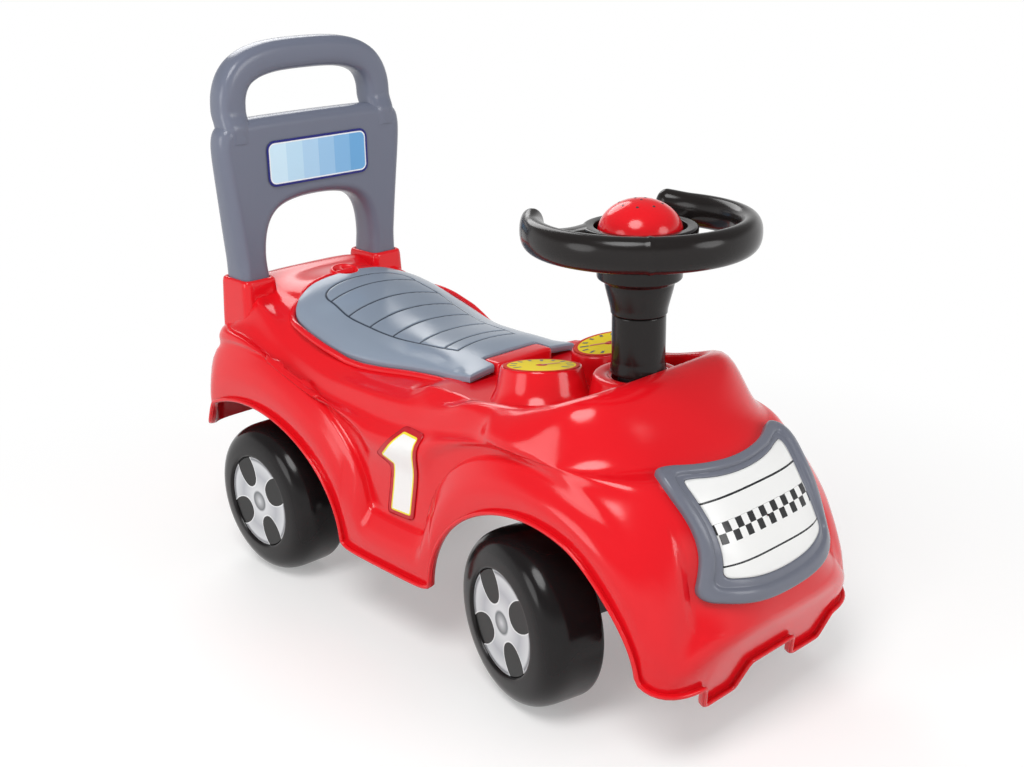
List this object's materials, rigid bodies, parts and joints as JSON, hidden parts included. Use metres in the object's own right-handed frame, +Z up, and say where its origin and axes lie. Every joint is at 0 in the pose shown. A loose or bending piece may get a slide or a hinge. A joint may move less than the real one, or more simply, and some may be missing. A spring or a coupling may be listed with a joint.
{
  "type": "ride-on car",
  "caption": "Foot-to-floor ride-on car: red shell on spinning wheels, steered front axle, press horn, push handle and a lidded seat over a storage tray.",
  "frame": {"origin": "on the floor under the middle of the car's overall box", "axes": "+Z up, front of the car along -Y, driver's right hand along -X"},
  "size_m": [0.271, 0.5968, 0.4762],
  "materials": {
    "red": "glossy red polypropylene",
    "dark": "dark grey polypropylene",
    "lid_slate": "light blue-grey",
    "steel": "zinc-plated",
    "slate": "blue-grey",
    "label_blue": "printed film",
    "white": "printed plate",
    "label_yellow": "printed film",
    "label_white": "printed film",
    "nylon": "natural nylon",
    "black": "glossy black",
    "soft": "soft vinyl",
    "silver": "printed silver disc"
  },
  "bodies": {
    "car": {"body_shell": "red", "storage_tray": "dark", "seat_hinge_pin": "steel", "backrest_frame": "slate", "backrest_label": "label_blue", "backrest_screw_left": "steel", "backrest_screw_right": "steel", "grille_frame": "slate", "grille_panel": "white", "grille_screw_left": "steel", "grille_screw_right": "steel", "gauge_label_left": "label_yellow", "gauge_label_right": "label_yellow", "number_label_left": "label_white", "number_label_right": "label_white", "column_bush": "nylon", "lower_bearing_plate": "dark", "bearing_screw_1": "steel", "bearing_screw_2": "steel", "bearing_screw_3": "steel", "bearing_screw_4": "steel", "rear_axle": "steel", "rear_axle_bracket_left": "dark", "rear_axle_bracket_right": "dark", "bracket_screw_left_1": "steel", "bracket_screw_left_2": "steel", "bracket_screw_right_1": "steel", "bracket_screw_right_2": "steel", "rear_push_nut_left": "steel", "rear_push_nut_right": "steel"},
    "steering": {"steering_column": "black", "steering_wheel": "black", "wheel_fixing_screw": "steel", "horn_reed": "dark", "horn_bellows": "soft", "axle_beam": "dark", "beam_screw": "steel", "front_axle": "steel", "front_push_nut_left": "steel", "front_push_nut_right": "steel"},
    "horn": {"horn_button": "red"},
    "lid": {"seat_lid": "lid_slate"},
    "front_wheel_left_body": {"front_wheel_left": "black", "front_wheel_disc_left": "silver"},
    "front_wheel_right_body": {"front_wheel_right": "black", "front_wheel_disc_right": "silver"},
    "rear_wheel_left_body": {"rear_wheel_left": "black", "rear_wheel_disc_left": "silver"},
    "rear_wheel_right_body": {"rear_wheel_right": "black", "rear_wheel_disc_right": "silver"}
  },
  "joints": [
    {"name": "steering_turn", "type": "hinge", "parent": "car", "child": "steering", "pos_m": [0, -0.151, 0.17], "axis": [0, 0, 1], "range_deg": [-12.8, 37.2]},
    {"name": "horn_press", "type": "slide", "parent": "steering", "child": "horn", "axis": [0, 0, -1], "range_m": [0, 0.0035], "stiffness_N_per_m": 900, "deforming": ["horn_bellows"]},
    {"name": "seat_lid_hinge", "type": "hinge", "parent": "car", "child": "lid", "pos_m": [0, -0.0218, 0.2283], "axis": [1, 0, 0], "range_deg": [0, 75]},
    {"name": "rear_wheel_left_spin", "type": "hinge", "parent": "car", "child": "rear_wheel_left_body", "pos_m": [0.1, 0.199, 0.07], "axis": [1, 0, 0], "continuous": true},
    {"name": "rear_wheel_right_spin", "type": "hinge", "parent": "car", "child": "rear_wheel_right_body", "pos_m": [-0.1, 0.199, 0.07], "axis": [1, 0, 0], "continuous": true},
    {"name": "front_wheel_left_spin", "type": "hinge", "parent": "steering", "child": "front_wheel_left_body", "pos_m": [0, -0.151, 0.07], "axis": [0.9774, -0.2113, 0], "continuous": true},
    {"name": "front_wheel_right_spin", "type": "hinge", "parent": "steering", "child": "front_wheel_right_body", "pos_m": [0, -0.151, 0.07], "axis": [0.9774, -0.2113, 0], "continuous": true}
  ]
}
